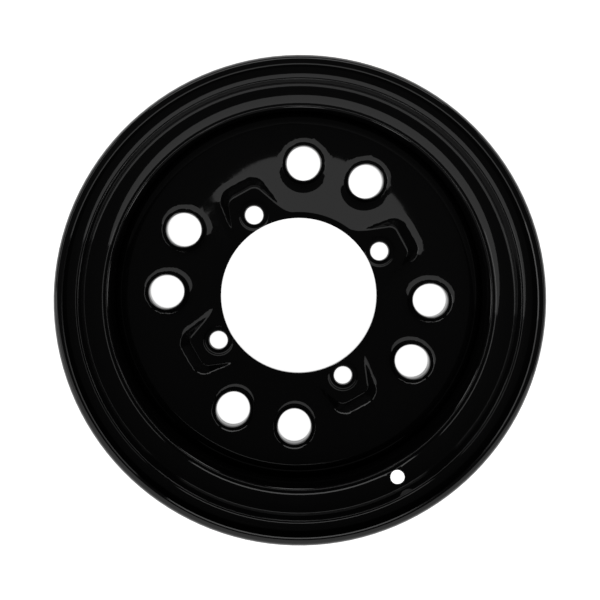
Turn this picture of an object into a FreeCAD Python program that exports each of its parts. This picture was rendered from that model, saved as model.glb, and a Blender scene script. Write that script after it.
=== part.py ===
import FreeCAD, Part
import math
import os
import Sketcher

V = FreeCAD.Vector
Z_AXIS = V(0, 0, 1)
TOUCH = 1e-4  # how near two faces lie when an edge belongs to both

# A drop-centre steel wheel lying on its back flange. The axle is Z, the outer face looks up, and the
# origin is the middle of the hub bore on the plane where the disc meets the hub. One lug lies on +X.
SIZES = {
    # rolled rim, measured on the tyre side of the sheet
    "rim_gauge": 2.5,
    "rim_flat_turn": 22.5,
    "lip_radius": 192.5,
    "lip_tip_radius": 184.7,
    "lip_depth": 12.8,
    "lip_curl": 6.1,
    "lip_edge_break": 0.7,
    "bead_seat_radius": 177.4,
    "bead_seat_length": 19.0,
    "bead_seat_drop": 1.9,
    "bead_seat_corner": 3.0,
    "bead_toe_bend": 5.6,
    "bead_ledge_bend": 30.0,
    "rim_width": 177.8,
    "front_spacing": 76.2,
    "well_radius": 157.1,
    "well_wall_slant": 1.0,
    "well_bend": 9.0,
    "well_floor_end": 26.5,
    "well_ramp_length": 18.0,
    "well_ramp_bend": 12.0,
    "valve_radius": 5.75,
    "valve_rise": 7.1,
    "valve_tilt": 10.0,
    "valve_punch_reach": 27.0,
    # pressed disc, measured on its outer face
    "disc_gauge": 3.5,
    "bore_radius": 66.0,
    "foot_radius": 71.0,
    "foot_bend": 3.0,
    "bowl_angle": 15.0,
    "bowl_bend": 140.0,
    "crest_angle": 4.5,
    "crest_run": 17.6,
    "roll_bend": 13.0,
    "flange_end": 14.0,
    "core_margin": 5.0,
    "punch_reach": 42.0,
    # lug pockets, given at a root plane below the pad face
    "pocket_root": 6.0,
    "pocket_draft": 45.0,
    "pocket_end": 93.2,
    "pocket_end_half": 8.9,
    "pocket_mouth": 40.0,
    "pocket_mouth_half": 28.9,
    "pocket_corner": 1.5,
    "pocket_reach": 36.0,
    "pocket_brow": 13.0,
    "pad_margin": 12.0,
    # lug holes with their raised conical seats
    "lug_circle": 78.0,
    "lug_hole_radius": 7.6,
    "lug_collar_radius": 13.7,
    "lug_collar_top": 10.6,
    "lug_collar_height": 2.2,
    "lug_seat_radius": 9.6,
    "lug_seat_depth": 2.8,
    # vent holes, a pair between each two lugs
    "vent_radius": 13.9,
    "vent_inset": 45.5,
    "vent_half_angle": 14.1,
    "vent_roll": 9.0,
    "vent_neck_end": 1.0,
    "vent_trim": 2.0,
    # stitch welds behind the disc flange
    "weld_leg": 3.4,
    "weld_length": 5.0,
    "weld_angle": 52.0,
}

doc = FreeCAD.newDocument("steel_wheel")
sizes = doc.addObject("Spreadsheet::Sheet", "sizes")
for row, (alias, number) in enumerate(SIZES.items(), start=1):
    sizes.set("A%d" % row, alias)
    sizes.set("B%d" % row, str(number))
    sizes.setAlias("B%d" % row, alias)
doc.recompute()


def named(expression):
    """Write the sheet's name in front of each size in an expression."""
    words = []
    for word in expression.split(" "):
        words.append("sizes." + word if word in SIZES else word)
    return " ".join(words)


def value(expression):
    """Work out an expression of sizes as a plain number."""
    return float(sizes.evalExpression(named(expression)))


def bind(item, **expressions):
    """Tie properties of a document object to sizes in the sheet."""
    for path, expression in expressions.items():
        item.setExpression(path.replace("__", "."), named(expression))
    return item


def add(kind, name, **properties):
    """Add a document object and set its plain properties."""
    item = doc.addObject(kind, name)
    for key, content in properties.items():
        setattr(item, key, content)
    return item


def bend_ends(before, corner, after, radius):
    """Find where a bend of a given radius leaves its two legs, and its centre."""
    into = (before - corner).normalize()
    out = (after - corner).normalize()
    half = into.getAngle(out) / 2
    middle = (into + out).normalize()
    reach = radius / math.tan(half)
    return corner + into * reach, corner + out * reach, corner + middle * (radius / math.sin(half))


def outline(name, corners, closed, flat_turn=None):
    """Sketch a chain of straight legs with rounded corners, each size tied to the sheet.

    A corner is its two coordinates and its bend radius as expressions; an empty bend is a sharp corner.
    With a flat turn, each round becomes a row of equal flats on its arc, none turned by more than that.
    """
    sketch = doc.addObject("Sketcher::SketchObject", name)
    spots = [V(value(across), value(along), 0) for across, along, bend in corners]
    count = len(corners)
    starts = list(spots)
    ends = list(spots)
    bends = {}
    for i, (across, along, bend) in enumerate(corners):
        if bend:
            after = spots[(i + 1) % count]
            ends[i], starts[i], bends[i] = bend_ends(spots[i - 1], spots[i], after, value(bend))
    legs = {}
    for i in range(count if closed else count - 1):
        legs[i] = sketch.addGeometry(Part.LineSegment(starts[i], ends[(i + 1) % count]), False)
    marks = [sketch.addGeometry(Part.Point(spot), True) for spot in spots]
    for i, (across, along, bend) in enumerate(corners):
        for letter, kind, expression in (("X", "DistanceX", across), ("Y", "DistanceY", along)):
            place = getattr(spots[i], letter.lower())
            index = sketch.addConstraint(Sketcher.Constraint(kind, -1, 1, marks[i], 1, place))
            sketch.renameConstraint(index, "corner_%d_%s" % (i, letter))
            sketch.setExpression("Constraints.corner_%d_%s" % (i, letter), named(expression))
        came = legs.get((i - 1) % count)
        goes = legs.get(i)
        if not bend:
            if came is not None:
                sketch.addConstraint(Sketcher.Constraint("Coincident", came, 2, marks[i], 1))
            if goes is not None:
                sketch.addConstraint(Sketcher.Constraint("Coincident", goes, 1, marks[i], 1))
            continue
        centre = bends[i]
        first = ends[i] - centre
        last = starts[i] - centre
        turns_left = first.cross(last).z > 0
        if not turns_left:
            first, last = last, first
        circle = Part.Circle(centre, Z_AXIS, value(bend))
        round_arc = Part.ArcOfCircle(circle, math.atan2(first.y, first.x), math.atan2(last.y, last.x))
        arc = sketch.addGeometry(round_arc, flat_turn is not None)
        sketch.addConstraint(Sketcher.Constraint("PointOnObject", marks[i], 1, came))
        sketch.addConstraint(Sketcher.Constraint("PointOnObject", marks[i], 1, goes))
        sketch.addConstraint(Sketcher.Constraint("Tangent", came, 2, arc, 1 if turns_left else 2))
        sketch.addConstraint(Sketcher.Constraint("Tangent", goes, 1, arc, 2 if turns_left else 1))
        index = sketch.addConstraint(Sketcher.Constraint("Radius", arc, value(bend)))
        sketch.renameConstraint(index, "bend_%d" % i)
        sketch.setExpression("Constraints.bend_%d" % i, named(bend))
        if flat_turn is None:
            continue
        count_flats = math.ceil(math.degrees(round_arc.LastParameter - round_arc.FirstParameter) / flat_turn)
        knots = round_arc.discretize(Number=count_flats + 1)
        if not turns_left:
            knots.reverse()
        flats = [sketch.addGeometry(Part.LineSegment(a, b), False) for a, b in zip(knots, knots[1:])]
        sketch.addConstraint(Sketcher.Constraint("Coincident", came, 2, flats[0], 1))
        sketch.addConstraint(Sketcher.Constraint("Coincident", flats[-1], 2, goes, 1))
        for flat, following in zip(flats, flats[1:]):
            sketch.addConstraint(Sketcher.Constraint("Coincident", flat, 2, following, 1))
            sketch.addConstraint(Sketcher.Constraint("PointOnObject", following, 1, arc))
            sketch.addConstraint(Sketcher.Constraint("Equal", flat, following))
    return sketch


def section(name, corners, closed, flat_turn=None):
    """Sketch a half section in the plane through the axle: radius across, height along it."""
    sketch = outline(name, corners, closed, flat_turn)
    sketch.Placement = FreeCAD.Placement(V(0, 0, 0), FreeCAD.Rotation(V(1, 0, 0), 90))
    return sketch


def turned(name, source, angle):
    """Turn a section round the axle, from half the angle before +X to half the angle after it."""
    solid = add("Part::Revolution", name, Source=source, Axis=Z_AXIS, Base=V(0, 0, 0), Solid=True)
    solid.Angle = angle
    solid.Placement = FreeCAD.Placement(V(0, 0, 0), FreeCAD.Rotation(Z_AXIS, -angle / 2))
    return solid


def shared_edges(solid, one, other, keep):
    """List the edges of a solid that lie on the skins of two others and pass a test of their middle."""
    doc.recompute()
    skins = [Part.Compound(item.Shape.Faces) for item in (one, other)]
    chosen = []
    for number, edge in enumerate(solid.Shape.Edges, start=1):
        low, high = edge.ParameterRange
        points = [edge.valueAt(low + (high - low) * part) for part in (0.5, 0.25, 0.75)]
        if not keep(points[0]):
            continue
        if all(Part.Vertex(point).distToShape(skin)[0] < TOUCH for point in points for skin in skins):
            chosen.append(number)
    return chosen


def rounded(name, solid, numbers, radius):
    """Round chosen edges of a solid."""
    return add("Part::Fillet", name, Base=solid, Edges=[(number, radius, radius) for number in numbers])


def radius_of(point):
    """Give a point's distance from the axle."""
    return math.hypot(point.x, point.y)


# Rim: one rolled hoop of sheet. Its tyre-side line is thickened by the gauge and turned round the axle.
rim_line = section("rim_line", [
    ("lip_tip_radius", "front_spacing + lip_depth", ""),
    ("lip_radius", "front_spacing + lip_depth", "lip_curl"),
    ("lip_radius", "front_spacing", "lip_curl"),
    ("bead_seat_radius", "front_spacing", "bead_seat_corner"),
    ("bead_seat_radius - bead_seat_drop", "front_spacing - bead_seat_length", "bead_toe_bend"),
    ("well_radius", "front_spacing - bead_seat_length - well_wall_slant", "well_bend"),
    ("well_radius", "0 - well_floor_end", "well_ramp_bend"),
    ("bead_seat_radius - bead_seat_drop", "0 - well_floor_end - well_ramp_length", "well_ramp_bend"),
    ("bead_seat_radius - bead_seat_drop", "front_spacing - rim_width + bead_seat_length", "bead_ledge_bend"),
    ("bead_seat_radius", "front_spacing - rim_width", "bead_seat_corner"),
    ("lip_radius", "front_spacing - rim_width", "lip_curl"),
    ("lip_radius", "front_spacing - rim_width - lip_depth", "lip_curl"),
    ("lip_tip_radius", "front_spacing - rim_width - lip_depth", ""),
], closed=False, flat_turn=value("rim_flat_turn"))
rim_sheet = add("Part::Offset2D", "rim_sheet", Source=rim_line, Fill=True, Mode="Skin", Join="Intersection")
bind(rim_sheet, Value="0 - rim_gauge")
rim_hoop = turned("rim_hoop", rim_sheet, 360)

# The valve hole is punched square to the wall of the well, in line with a lug.
valve_punch = add("Part::Cylinder", "valve_punch")
punch_lean = "valve_punch_reach * tan( 1deg * valve_tilt )"
bind(valve_punch, Radius="valve_radius", Height="valve_punch_reach * 2")
bind(valve_punch, Placement__Base__y="0 - well_radius - valve_rise - " + punch_lean)
bind(valve_punch, Placement__Base__z="front_spacing - bead_seat_length - valve_punch_reach")
valve_punch.Placement.Rotation = FreeCAD.Rotation(V(1, 0, 0), -value("valve_tilt"))
rim_pierced = add("Part::Cut", "rim_pierced", Base=rim_hoop, Tool=valve_punch)
doc.recompute()


def at_lip_edge(edge):
    """Tell whether an edge is one of the two corners along a cut end of the rim sheet."""
    box = edge.BoundBox
    tip = value("lip_tip_radius")
    return box.ZLength < TOUCH and abs(box.XMax - tip) < TOUCH and abs(box.XMin + tip) < TOUCH


lip_edges = [i for i, edge in enumerate(rim_pierced.Shape.Edges, start=1) if at_lip_edge(edge)]
lip_break = value("lip_edge_break")
rim = add("Part::Chamfer", "rim", Base=rim_pierced, Edges=[(i, lip_break, lip_break) for i in lip_edges])
doc.recompute()

# Disc: a quarter of the pressing is the space under its outer face less the space under its inner face.
QUARTER = 90.0


def pressing(side, inset):
    """Model the space under one face of a quarter of the disc, set in by a share of the gauge.

    The bowl and the drafted lug pocket run on below the pad face, so their brow keeps one full round;
    the pad slab then fills them up to the pad face, and the line where the bowl leaves it is rounded.
    """
    inner = "disc_gauge * %s" % inset
    core = "( bore_radius - core_margin )"
    turn = "( 1deg * ( bowl_angle - crest_angle ) / 2 )"
    middle = "( 1deg * ( bowl_angle + crest_angle ) / 2 )"
    shift = "%s / cos( %s )" % (inner, turn)
    knee = "( well_radius - rim_gauge - roll_bend - crest_run )"
    knee_height = "( %s - foot_radius ) * tan( 1deg * bowl_angle )" % knee
    crest = "disc_gauge + %s - %s * cos( %s )" % (knee_height, shift, middle)
    crest_corner = "%s + %s * sin( %s )" % (knee, shift, middle)
    core_drop = "( foot_radius - %s ) * tan( 1deg * bowl_angle )" % core
    core_top = "disc_gauge - %s - %s / cos( 1deg * bowl_angle )" % (core_drop, inner)
    wall = "well_radius - rim_gauge - %s" % inner
    crest_rise = "( %s - ( %s ) ) * tan( 1deg * crest_angle )" % (wall, crest_corner)
    bottom = "0 - flange_end - %s * 2" % inner
    half_section = section(side + "_section", [
        (core, core_top, ""),
        (crest_corner, crest, "bowl_bend - " + inner),
        (wall, "%s + %s" % (crest, crest_rise), "roll_bend - " + inner),
        (wall, bottom, ""),
        (core, bottom, ""),
    ], closed=True)
    bowl = turned(side + "_bowl", half_section, QUARTER)

    grown = "%s * ( 1 - sin( 1deg * pocket_draft ) ) / cos( 1deg * pocket_draft )" % inner
    plan = outline(side + "_pocket_plan", [
        ("pocket_end + " + grown, "pocket_end_half + " + grown, "pocket_corner + " + grown),
        ("pocket_mouth", "pocket_mouth_half + " + grown, ""),
        ("pocket_mouth", "0 - pocket_mouth_half - " + grown, ""),
        ("pocket_end + " + grown, "0 - pocket_end_half - " + grown, "pocket_corner + " + grown),
    ], closed=True)
    bind(plan, Placement__Base__z="disc_gauge - pocket_root - " + inner)
    pocket = add("Part::Extrusion", side + "_pocket", Base=plan, DirMode="Normal", Solid=True)
    bind(pocket, LengthFwd="pocket_reach", TaperAngle="pocket_draft")
    pocketed = add("Part::Cut", side + "_pocketed", Base=bowl, Tool=pocket)
    brow_edges = shared_edges(pocketed, bowl, pocket, lambda spot: radius_of(spot) > value(core) + 1)
    browed = rounded(side + "_browed", pocketed, brow_edges, value("pocket_brow - " + inner))

    pad = add("Part::Cylinder", side + "_pad", Angle=QUARTER)
    pad.Placement.Rotation = FreeCAD.Rotation(Z_AXIS, -QUARTER / 2)
    bind(pad, Radius="pocket_end + pad_margin", Placement__Base__z=bottom)
    bind(pad, Height="disc_gauge - %s + flange_end + %s * 2" % (inner, inner))
    seated = add("Part::Fuse", side + "_seated", Base=browed, Tool=pad)
    pad_face = value("disc_gauge - " + inner)
    foot_edges = shared_edges(seated, browed, pad, lambda spot: abs(spot.z - pad_face) < TOUCH)
    footed = rounded(side + "_footed", seated, foot_edges, value("foot_bend + " + inner))

    punches = []
    for hand in (-1, 1):
        punch = add("Part::Cylinder", "%s_vent_%s" % (side, "right" if hand < 0 else "left"))
        turn = "1deg * ( %s / 2 - vent_half_angle )" % QUARTER
        bind(punch, Radius="vent_radius + " + inner, Height="punch_reach * 2")
        bind(punch, Placement__Base__x="( well_radius - vent_inset ) * cos( %s )" % turn)
        bind(punch, Placement__Base__y="%d * ( well_radius - vent_inset ) * sin( %s )" % (hand, turn))
        bind(punch, Placement__Base__z="0 - punch_reach")
        punches.append(punch)
    vents = add("Part::Compound", side + "_vents", Links=punches)
    vented = add("Part::Cut", side + "_vented", Base=footed, Tool=vents)
    roll_edges = shared_edges(vented, footed, vents, lambda spot: spot.z > 0)
    rolled = rounded(side + "_rolled", vented, roll_edges, value("vent_roll - " + inner))
    return rolled


front = pressing("front", "0")
back = pressing("back", "1")
quarter_sheet = add("Part::Cut", "quarter_sheet", Base=front, Tool=back)

# The rolled vent necks are trimmed square, clear of the hub plane.
trims = []
for punch in doc.getObject("back_vents").Links:
    trim = add("Part::Cylinder", punch.Name.replace("back", "trim"))
    bind(trim, Radius="vent_radius + disc_gauge + vent_trim", Height="punch_reach + vent_neck_end")
    trim.setExpression("Placement.Base.x", punch.Name + ".Placement.Base.x")
    trim.setExpression("Placement.Base.y", punch.Name + ".Placement.Base.y")
    bind(trim, Placement__Base__z="0 - punch_reach")
    trims.append(trim)

# The lug hole stands in a raised collar with a conical seat for its nut.
collar = add("Part::Cone", "lug_collar")
bind(collar, Radius1="lug_collar_radius", Radius2="lug_collar_top", Height="lug_collar_height")
bind(collar, Placement__Base__x="lug_circle", Placement__Base__z="disc_gauge")
lug_hole = add("Part::Cylinder", "lug_hole")
bind(lug_hole, Radius="lug_hole_radius", Height="punch_reach * 2")
bind(lug_hole, Placement__Base__x="lug_circle", Placement__Base__z="0 - punch_reach")
lug_seat = add("Part::Cone", "lug_seat")
bind(lug_seat, Radius1="lug_hole_radius", Radius2="lug_seat_radius", Height="lug_seat_depth")
bind(lug_seat, Placement__Base__x="lug_circle")
bind(lug_seat, Placement__Base__z="disc_gauge + lug_collar_height - lug_seat_depth")
bore = add("Part::Cylinder", "bore")
bind(bore, Radius="bore_radius", Height="punch_reach * 2", Placement__Base__z="0 - punch_reach")
collared = add("Part::Fuse", "quarter_collared", Base=quarter_sheet, Tool=collar)
openings = add("Part::Compound", "quarter_openings", Links=trims + [lug_hole, lug_seat, bore])
quarter = add("Part::Cut", "quarter", Base=collared, Tool=openings)


def mirrored(name, solid, angle):
    """Join a solid to its mirror image in the plane through the axle at an angle from +X."""
    turn = math.radians(angle)
    image = add("Part::Mirroring", name + "_image", Source=solid, Base=V(0, 0, 0))
    image.Normal = V(-math.sin(turn), math.cos(turn), 0)
    return add("Part::Fuse", name, Base=solid, Tool=image, Refine=True)


half_disc = mirrored("half_disc", quarter, QUARTER / 2)
disc = mirrored("disc", half_disc, -QUARTER / 2)

# Welds: stitches in the corner between the end of the disc flange and the well floor.
weld_section = section("weld_section", [
    ("well_radius - rim_gauge", "0 - flange_end", ""),
    ("well_radius - rim_gauge - weld_leg", "0 - flange_end", ""),
    ("well_radius - rim_gauge", "0 - flange_end - weld_length", ""),
], closed=True)
stitches = []
for number in range(round(360 / QUARTER)):
    stitch = turned("weld_%d" % (number + 1), weld_section, value("weld_angle"))
    start = QUARTER * (number + 0.5) - value("weld_angle") / 2
    stitch.Placement.Rotation = FreeCAD.Rotation(Z_AXIS, start)
    stitches.append(stitch)
weld_beads = add("Part::Compound", "weld_beads", Links=stitches)
doc.recompute()

for item in doc.Objects:
    if "Invalid" in item.State or "Error" in item.State:
        raise RuntimeError("%s did not build" % item.Name)
    if hasattr(item, "Shape") and (item.Shape.isNull() or not item.Shape.isValid()):
        raise RuntimeError("%s has no valid shape" % item.Name)

os.makedirs("parts", exist_ok=True)
for node in (rim, disc, weld_beads):
    node.Label = node.Name
    node.Shape.exportStep("parts/%s.step" % node.Label)
    box = node.Shape.BoundBox
    print("%s: %.0f mm3, %d faces, %s" % (node.Label, node.Shape.Volume, len(node.Shape.Faces), box))
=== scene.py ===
"""Dress the steel wheel and set up the studio that it is photographed in."""
import logging
import math
from dataclasses import dataclass, field
from enum import Enum
from typing import Final

import bmesh
import bpy
from mathutils import Matrix, Vector


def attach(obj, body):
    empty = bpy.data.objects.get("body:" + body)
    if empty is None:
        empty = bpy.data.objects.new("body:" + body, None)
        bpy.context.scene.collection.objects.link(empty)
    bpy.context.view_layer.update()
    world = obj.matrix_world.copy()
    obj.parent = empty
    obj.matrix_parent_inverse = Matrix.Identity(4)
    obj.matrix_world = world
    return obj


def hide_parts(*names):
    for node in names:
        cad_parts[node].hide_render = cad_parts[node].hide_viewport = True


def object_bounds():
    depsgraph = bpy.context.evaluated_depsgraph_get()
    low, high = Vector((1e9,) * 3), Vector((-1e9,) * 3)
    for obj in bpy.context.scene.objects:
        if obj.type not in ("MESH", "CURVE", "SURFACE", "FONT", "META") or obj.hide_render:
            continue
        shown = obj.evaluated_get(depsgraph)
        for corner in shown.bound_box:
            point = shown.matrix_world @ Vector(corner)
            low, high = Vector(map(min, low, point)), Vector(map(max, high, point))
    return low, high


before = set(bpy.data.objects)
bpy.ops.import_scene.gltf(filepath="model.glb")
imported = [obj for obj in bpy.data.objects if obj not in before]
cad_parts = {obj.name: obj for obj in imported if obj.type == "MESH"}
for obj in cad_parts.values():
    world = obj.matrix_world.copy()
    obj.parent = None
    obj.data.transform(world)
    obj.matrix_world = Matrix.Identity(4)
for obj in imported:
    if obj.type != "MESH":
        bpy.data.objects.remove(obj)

LOG: Final = logging.getLogger("steel_wheel")
CAD_BOUNDS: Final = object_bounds()
# The weighted-normal modifier reads each face's strength from this layer.
FACE_STRENGTH: Final = "__mod_weightednormals_faceweight"
STRONG_FACE: Final = 16384


class NodeName(str, Enum):
    """The nodes of the CAD model."""

    RIM = "rim"
    DISC = "disc"
    WELDS = "weld_beads"


class Socket(str, Enum):
    """The shader sockets that a finish or the floor sets."""

    COLOUR = "Base Color"
    ROUGHNESS = "Roughness"
    IOR = "IOR"
    NORMAL = "Normal"
    GLOW_COLOUR = "Emission Color"
    GLOW = "Emission Strength"


@dataclass(frozen=True)
class PaintFinish:
    """A sprayed gloss paint over steel.

    Attributes:
        name: the material's name.
        dark: the paint's deepest colour, in linear values.
        light: the colour of its thinner or dustier places.
        polished: the roughness of its clearest places.
        hazy: the roughness of its dullest places.
        peel_scale: the number of orange-peel waves in a metre.
        peel_height: the height of the orange peel, in metres.
        cloud_scale: the number of hazy clouds in a metre.
        cloud_detail: the number of finer layers in the clouds.
        peel_detail: the number of finer layers in the orange peel.
        ior: the paint's index of refraction.
    """

    name: str
    dark: tuple[float, float, float]
    light: tuple[float, float, float]
    polished: float
    hazy: float
    peel_scale: float
    peel_height: float
    cloud_scale: float
    cloud_detail: float = 4.0
    peel_detail: float = 2.0
    ior: float = 1.5

    def build(self) -> bpy.types.Material:
        """Make the material from its nodes.

        Returns:
            The finished material.
        """
        material = bpy.data.materials.new(self.name)
        material.use_nodes = True
        tree = material.node_tree
        tree.nodes.clear()
        output = tree.nodes.new("ShaderNodeOutputMaterial")
        shader = tree.nodes.new("ShaderNodeBsdfPrincipled")
        tree.links.new(shader.outputs["BSDF"], output.inputs["Surface"])
        shader.inputs[Socket.IOR.value].default_value = self.ior
        place = tree.nodes.new("ShaderNodeTexCoord")

        clouds = self._noise(tree, place, self.cloud_scale, self.cloud_detail)
        colour = tree.nodes.new("ShaderNodeValToRGB")
        colour.color_ramp.elements[0].color = (*self.dark, 1.0)
        colour.color_ramp.elements[1].color = (*self.light, 1.0)
        tree.links.new(clouds.outputs["Fac"], colour.inputs["Fac"])
        tree.links.new(colour.outputs["Color"], shader.inputs[Socket.COLOUR.value])

        haze = tree.nodes.new("ShaderNodeMapRange")
        haze.inputs["To Min"].default_value = self.polished
        haze.inputs["To Max"].default_value = self.hazy
        tree.links.new(clouds.outputs["Fac"], haze.inputs["Value"])
        tree.links.new(haze.outputs["Result"], shader.inputs[Socket.ROUGHNESS.value])

        peel = self._noise(tree, place, self.peel_scale, self.peel_detail)
        bump = tree.nodes.new("ShaderNodeBump")
        bump.inputs["Distance"].default_value = self.peel_height
        tree.links.new(peel.outputs["Fac"], bump.inputs["Height"])
        tree.links.new(bump.outputs["Normal"], shader.inputs[Socket.NORMAL.value])
        return material

    @staticmethod
    def _noise(
        tree: bpy.types.NodeTree,
        place: bpy.types.Node,
        scale: float,
        detail: float,
    ) -> bpy.types.Node:
        """Add a noise texture in the object's own coordinates.

        Args:
            tree: the node tree to add it to.
            place: the texture coordinate node.
            scale: the number of waves in a metre.
            detail: the number of finer layers.

        Returns:
            The noise node.
        """
        noise = tree.nodes.new("ShaderNodeTexNoise")
        noise.inputs["Scale"].default_value = scale
        noise.inputs["Detail"].default_value = detail
        tree.links.new(place.outputs["Object"], noise.inputs["Vector"])
        return noise


GLOSS_BLACK: Final = PaintFinish(
    name="gloss_black_paint",
    dark=(0.0045, 0.0045, 0.0047),
    light=(0.0068, 0.0068, 0.007),
    polished=0.045,
    hazy=0.085,
    peel_scale=90.0,
    peel_height=0.000005,
    cloud_scale=11.0,
)
WELD_BLACK: Final = PaintFinish(
    name="gloss_black_over_weld",
    dark=(0.006, 0.006, 0.0062),
    light=(0.012, 0.012, 0.0122),
    polished=0.12,
    hazy=0.3,
    peel_scale=420.0,
    peel_height=0.0003,
    cloud_scale=40.0,
)


@dataclass
class Wheel:
    """The wheel's three welded pieces, each under its coat of paint.

    Attributes:
        paints: the finish of each piece.
        weld_gap: the distance within which the points of neighbouring faces are joined, in metres.
        crease: the turn between two faces from which their edge stays sharp, in degrees.
        level_tilt: the tilt up to which a face counts as level and shades flat to its edges, in degrees.
    """

    paints: dict[NodeName, PaintFinish] = field(
        default_factory=lambda: {
            NodeName.RIM: GLOSS_BLACK,
            NodeName.DISC: GLOSS_BLACK,
            NodeName.WELDS: WELD_BLACK,
        }
    )
    weld_gap: float = 0.000002
    crease: float = 38.0
    level_tilt: float = 0.05

    def build(self) -> None:
        """Coat every piece with its paint."""
        made: dict[str, bpy.types.Material] = {}
        for node, paint in self.paints.items():
            if paint.name not in made:
                made[paint.name] = paint.build()
            coat = self._coat(node, made[paint.name])
            LOG.info("painted %s with %s, %d faces", node.value, paint.name, len(coat.data.polygons))

    def _coat(self, node: NodeName, paint: bpy.types.Material) -> bpy.types.Object:
        """Lay one unbroken skin of paint over a piece, smooth across its bends.

        Args:
            node: the piece.
            paint: its material.

        Returns:
            The painted piece.
        """
        skin = bpy.data.objects[node.value].data.copy()
        skin.materials.clear()
        skin.materials.append(paint)
        shape = bmesh.new()
        shape.from_mesh(skin)
        bmesh.ops.remove_doubles(shape, verts=shape.verts, dist=self.weld_gap)
        bmesh.ops.recalc_face_normals(shape, faces=shape.faces)
        strength = shape.faces.layers.int.new(FACE_STRENGTH)
        for face in shape.faces:
            face.smooth = True
            face.material_index = 0
            if abs(face.normal.z) > math.cos(math.radians(self.level_tilt)):
                face[strength] = STRONG_FACE
        for edge in shape.edges:
            edge.smooth = edge.calc_face_angle(math.pi) < math.radians(self.crease)
        shape.to_mesh(skin)
        shape.free()
        coat = bpy.data.objects.new(f"painted_{node.value}", skin)
        bpy.context.collection.objects.link(coat)
        even = coat.modifiers.new("even_paint", "WEIGHTED_NORMAL")
        even.mode = "FACE_AREA_WITH_ANGLE"
        even.keep_sharp = True
        even.use_face_influence = True
        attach(coat, "root")
        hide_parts(node.value)
        return coat


@dataclass(frozen=True)
class Panel:
    """A soft rectangular light.

    Attributes:
        name: the light's name.
        centre: its middle, as right, up and out in the photograph's axes, in metres.
        target: the point that it faces, in the same axes.
        width: its size across, in metres.
        height: its size along, in metres.
        power: its power in watts.
    """

    name: str
    centre: tuple[float, float, float]
    target: tuple[float, float, float]
    width: float
    height: float
    power: float


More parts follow.
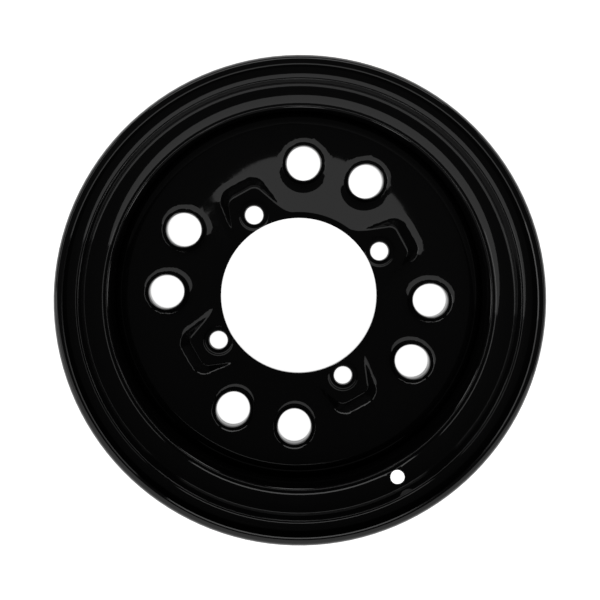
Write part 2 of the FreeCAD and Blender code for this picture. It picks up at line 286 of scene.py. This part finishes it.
@dataclass
class Studio:
    """The floor, the lights and the camera, laid out in the photograph's own axes.

    Attributes:
        up: the photograph's upward direction on the wheel's face.
        lip_height: the height of the wheel's outer lip.
        tilt: the camera's lean from the axle towards the photograph's top, in degrees.
        lean: its lean towards the photograph's left, in degrees.
        distance: its distance from the lip plane along the line of sight, in metres.
        field_of_view: its angle of view, in degrees.
        aim: the point that it looks at, as right and up from the lip's centre, in metres.
        floor_size: the length of the floor's sides, in metres.
        floor_colour: the floor's colour.
        floor_roughness: the floor's roughness.
        floor_glow: the light that the floor gives by itself, with white as 1.
        room_light: the light of the dim room round the studio, with white as 1.
        panels: the soft lights.
    """

    up: Vector = field(default_factory=lambda: Vector((0.483, 0.875, 0.0)).normalized())
    lip_height: float = 0.089
    tilt: float = 5.5
    lean: float = 1.3
    distance: float = 0.9
    field_of_view: float = 28.87
    aim: tuple[float, float] = (-0.0009, 0.0043)
    floor_size: float = 80.0
    floor_colour: tuple[float, float, float] = (0.8, 0.8, 0.8)
    floor_roughness: float = 0.9
    floor_glow: float = 1.0
    room_light: float = 0.025
    panels: tuple[Panel, ...] = (
        Panel("pale_wall", (-0.43, -2.46, 3.46), (0.0, 0.0, 3.46), 24.0, 6.9, 364.0),
        Panel("top_strip", (0.0, 0.75, 0.32), (0.0, 0.0, 0.05), 1.2, 0.16, 1.0),
        Panel("left_strip", (-0.9, 0.1, 0.36), (0.0, 0.0, 0.05), 1.2, 0.12, 0.5),
        Panel("right_strip", (0.9, 0.1, 0.36), (0.0, 0.0, 0.05), 1.2, 0.12, 0.35),
    )

    def place(self, right: float, up: float, out: float) -> Vector:
        """Turn a point of the photograph's axes into one of the wheel's frame.

        Args:
            right: the distance to the photograph's right, in metres.
            up: the distance to its top.
            out: the height above the hub plane.

        Returns:
            The point in the wheel's frame.
        """
        across = self.up.cross(Vector((0.0, 0.0, 1.0)))
        return across * right + self.up * up + Vector((0.0, 0.0, out))

    def build(self) -> None:
        """Make the floor, the lights, the surroundings and the camera."""
        bpy.context.scene.view_settings.view_transform = "Standard"
        self._floor()
        self._world()
        for panel in self.panels:
            self._light(panel)
        self._camera()

    def _floor(self) -> None:
        """Lay the pale floor under the wheel."""
        bpy.ops.mesh.primitive_plane_add(size=self.floor_size, location=(0.0, 0.0, CAD_BOUNDS[0][2]))
        floor = bpy.context.active_object
        floor.name = "floor"
        material = bpy.data.materials.new("pale_floor")
        material.use_nodes = True
        shader = material.node_tree.nodes["Principled BSDF"]
        shader.inputs[Socket.COLOUR.value].default_value = (*self.floor_colour, 1.0)
        shader.inputs[Socket.ROUGHNESS.value].default_value = self.floor_roughness
        shader.inputs[Socket.GLOW_COLOUR.value].default_value = (1.0, 1.0, 1.0, 1.0)
        shader.inputs[Socket.GLOW.value].default_value = self.floor_glow
        floor.data.materials.append(material)

    def _world(self) -> None:
        """Keep the room round the studio dim."""
        world = bpy.data.worlds.new("dim_room")
        world.use_nodes = True
        backdrop = world.node_tree.nodes["Background"]
        backdrop.inputs["Color"].default_value = (self.room_light, self.room_light, self.room_light, 1.0)
        bpy.context.scene.world = world

    def _light(self, panel: Panel) -> None:
        """Hang one soft light.

        Args:
            panel: the light to hang.
        """
        data = bpy.data.lights.new(panel.name, "AREA")
        data.shape = "RECTANGLE"
        data.size = panel.width
        data.size_y = panel.height
        data.energy = panel.power
        lamp = bpy.data.objects.new(panel.name, data)
        bpy.context.collection.objects.link(lamp)
        spot = self.place(*panel.centre)
        out = (spot - self.place(*panel.target)).normalized()
        across = Vector((0.0, 0.0, 1.0)).cross(out).normalized()
        along = out.cross(across)
        turn = Matrix((across, along, out)).transposed()
        lamp.matrix_world = Matrix.Translation(spot) @ turn.to_4x4()

    def _camera(self) -> None:
        """Stand the camera where the photograph was taken from."""
        data = bpy.data.cameras.new("camera")
        data.sensor_fit = "AUTO"
        data.angle = math.radians(self.field_of_view)
        camera = bpy.data.objects.new("camera", data)
        bpy.context.collection.objects.link(camera)
        spot = self.place(
            -self.distance * math.tan(math.radians(self.lean)),
            self.distance * math.tan(math.radians(self.tilt)),
            self.lip_height + self.distance,
        )
        aim = self.place(self.aim[0], self.aim[1], self.lip_height)
        out = (spot - aim).normalized()
        across = self.up.cross(out).normalized()
        above = out.cross(across)
        turn = Matrix((across, above, out)).transposed()
        camera.matrix_world = Matrix.Translation(spot) @ turn.to_4x4()
        bpy.context.scene.camera = camera


def main() -> None:
    """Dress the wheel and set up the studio."""
    logging.basicConfig(level=logging.INFO)
    Wheel().build()
    Studio().build()


if __name__ == "__main__":
    main()
